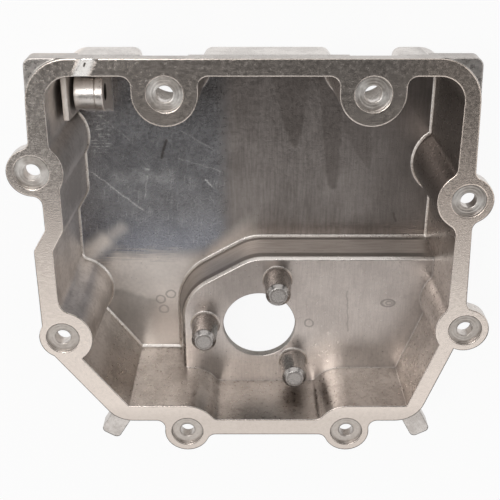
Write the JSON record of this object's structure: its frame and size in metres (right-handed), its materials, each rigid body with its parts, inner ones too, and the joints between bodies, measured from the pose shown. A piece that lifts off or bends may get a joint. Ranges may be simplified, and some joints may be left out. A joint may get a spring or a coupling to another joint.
{
  "type": "die cast housing",
  "caption": "Open-topped die cast aluminium housing with a machined bolt flange, drafted walls, a raised platform floor with a round bore, short studs and a corner boss.",
  "frame": {"origin": "axis of the big bore at the level of the platform floor", "axes": "+Z out of the open side along the bore, +Y towards the straight top rim, +X to the right seen from above"},
  "size_m": [0.2532, 0.23, 0.065],
  "materials": {
    "housing": "as cast satin with a machined sealing face"
  },
  "bodies": {
    "root": {"housing": "housing"}
  },
  "joints": []
}
